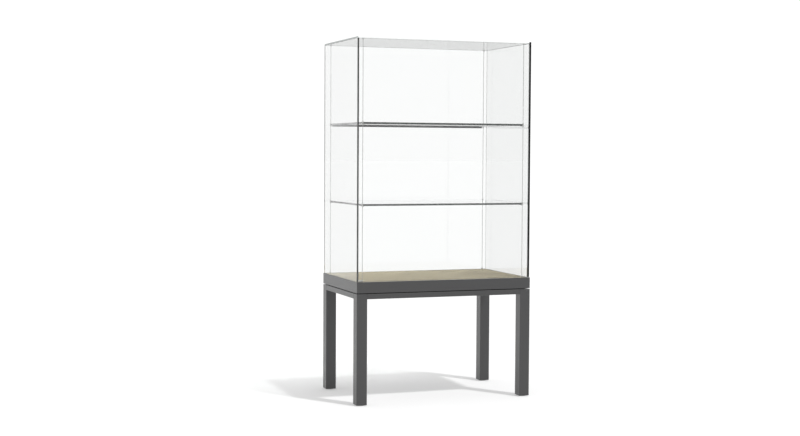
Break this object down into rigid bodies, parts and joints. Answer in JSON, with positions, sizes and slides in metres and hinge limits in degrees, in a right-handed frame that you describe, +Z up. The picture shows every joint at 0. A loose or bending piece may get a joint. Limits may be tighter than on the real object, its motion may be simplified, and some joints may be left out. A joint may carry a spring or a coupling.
{
  "type": "display case",
  "caption": "Free-standing glass display case on a square-tube steel table: glass hood with a pivoted front door over a shallow tray, two glass shelves clamped on thin rods.",
  "frame": {"origin": "on the floor under the middle of the case", "axes": "+Z up, +X to the right along the front, +Y to the back; the door is on the -Y side"},
  "size_m": [1, 0.6, 1.94],
  "materials": {
    "table_steel": "anthracite powder coat, fine satin texture",
    "tray_steel": "anthracite powder coat, fine satin texture",
    "stile_metal": "anthracite powder coat, satin",
    "black_plastic": "moulded",
    "foot_steel": "bright zinc plate",
    "deck_fibreboard": "raw medium-density fibreboard",
    "deck_covering": "olive-beige matt lining, finely woven",
    "bearer_timber": "planed softwood",
    "lock_zinc": "die-cast zinc",
    "lock_brass": "turned brass",
    "stainless": "satin stainless steel",
    "glass": "clear float glass with polished edges",
    "black_silicone": "black silicone"
  },
  "bodies": {
    "case": {"leg_front_left": "table_steel", "leg_front_right": "table_steel", "leg_back_left": "table_steel", "leg_back_right": "table_steel", "rail_front": "table_steel", "rail_back": "table_steel", "rail_left": "table_steel", "rail_right": "table_steel", "foot_insert_front_left": "black_plastic", "foot_insert_front_right": "black_plastic", "foot_insert_back_left": "black_plastic", "foot_insert_back_right": "black_plastic", "gap_band": "black_plastic", "base_tray": "tray_steel", "deck_board": "deck_fibreboard", "deck_covering": "deck_covering", "deck_bearer_front": "bearer_timber", "deck_bearer_back": "bearer_timber", "lock_housing": "lock_zinc", "glass_top": "glass", "glass_back": "glass", "glass_left": "glass", "glass_right": "glass", "door_seal": "black_silicone", "pivot_block_top": "stile_metal", "pivot_plate_bottom": "stainless", "rod_front_left": "stainless", "rod_front_right": "stainless", "rod_back_left": "stainless", "rod_back_right": "stainless", "rod_socket_front_left": "stainless", "rod_socket_front_right": "stainless", "rod_socket_back_left": "stainless", "rod_socket_back_right": "stainless", "rod_cap_front_left": "stainless", "rod_cap_front_right": "stainless", "rod_cap_back_left": "stainless", "rod_cap_back_right": "stainless"},
    "door": {"door_glass": "glass", "hinge_stile": "stile_metal", "lock_keeper": "stainless"},
    "lock_barrel": {"lock_barrel": "lock_brass"},
    "lock_bolt": {"lock_bolt": "stainless"},
    "lower_shelf": {"shelf_lower": "glass", "clamp_lower_front_left": "stainless", "clamp_lower_front_right": "stainless", "clamp_lower_back_left": "stainless", "clamp_lower_back_right": "stainless"},
    "upper_shelf": {"shelf_upper": "glass", "shelf_bar": "stile_metal", "clamp_upper_front_left": "stainless", "clamp_upper_front_right": "stainless", "clamp_upper_back_left": "stainless", "clamp_upper_back_right": "stainless"},
    "foot_front_left": {"levelling_foot_front_left": "foot_steel"},
    "foot_front_right": {"levelling_foot_front_right": "foot_steel"},
    "foot_back_left": {"levelling_foot_back_left": "foot_steel"},
    "foot_back_right": {"levelling_foot_back_right": "foot_steel"}
  },
  "joints": [
    {"name": "door_hinge", "type": "hinge", "parent": "case", "child": "door", "pos_m": [0.492, -0.292, 0.658], "axis": [0, 0, 1], "range_deg": [0, 100]},
    {"name": "lock_turn", "type": "hinge", "parent": "case", "child": "lock_barrel", "pos_m": [-0.425, -0.264, 0.5965], "axis": [0, 0, 1], "range_deg": [0, 90]},
    {"name": "lock_bolt_slide", "type": "slide", "parent": "case", "child": "lock_bolt", "axis": [0, 0, 1], "range_m": [0, 0.008]},
    {"name": "lower_shelf_slide", "type": "slide", "parent": "case", "child": "lower_shelf", "axis": [0, 0, 1], "range_m": [-0.15, 0.15]},
    {"name": "upper_shelf_slide", "type": "slide", "parent": "case", "child": "upper_shelf", "axis": [0, 0, 1], "range_m": [-0.15, 0.15]},
    {"name": "foot_front_left_screw", "type": "slide", "parent": "case", "child": "foot_front_left", "axis": [0, 0, -1], "range_m": [0, 0.012]},
    {"name": "foot_front_right_screw", "type": "slide", "parent": "case", "child": "foot_front_right", "axis": [0, 0, -1], "range_m": [0, 0.012]},
    {"name": "foot_back_left_screw", "type": "slide", "parent": "case", "child": "foot_back_left", "axis": [0, 0, -1], "range_m": [0, 0.012]},
    {"name": "foot_back_right_screw", "type": "slide", "parent": "case", "child": "foot_back_right", "axis": [0, 0, -1], "range_m": [0, 0.012]}
  ],
  "couplings": [
    {"joint": "lock_turn", "follows": "lock_bolt_slide", "rad_per_m": 196.35}
  ]
}
